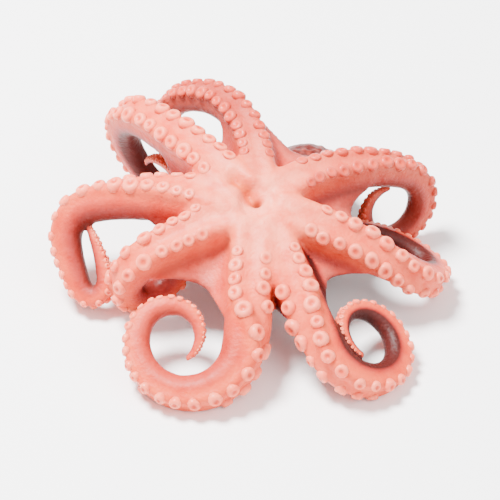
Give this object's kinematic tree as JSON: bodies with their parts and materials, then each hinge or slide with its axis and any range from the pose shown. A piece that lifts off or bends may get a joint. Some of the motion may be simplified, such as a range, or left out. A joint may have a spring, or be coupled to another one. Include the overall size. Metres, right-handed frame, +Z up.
{
  "type": "whole cooked octopus",
  "caption": "Small whole cooked octopus lying on its mantle, sucker side of the crown up, with curled arm tips and webbed skin between the arms.",
  "frame": {"origin": "centre of the bounding box, on the plane the octopus lies on", "axes": "+Z up, +X to the viewer's right across the spread arms, -Y towards the viewer, mantle lying towards +Y"},
  "size_m": [0.1107, 0.1063, 0.0397],
  "materials": {
    "cooked_flesh": "moist cooked octopus flesh, pale salmon on the sucker side and maroon on the outer skin"
  },
  "bodies": {
    "root": {"octopus": "cooked_flesh"}
  },
  "joints": []
}
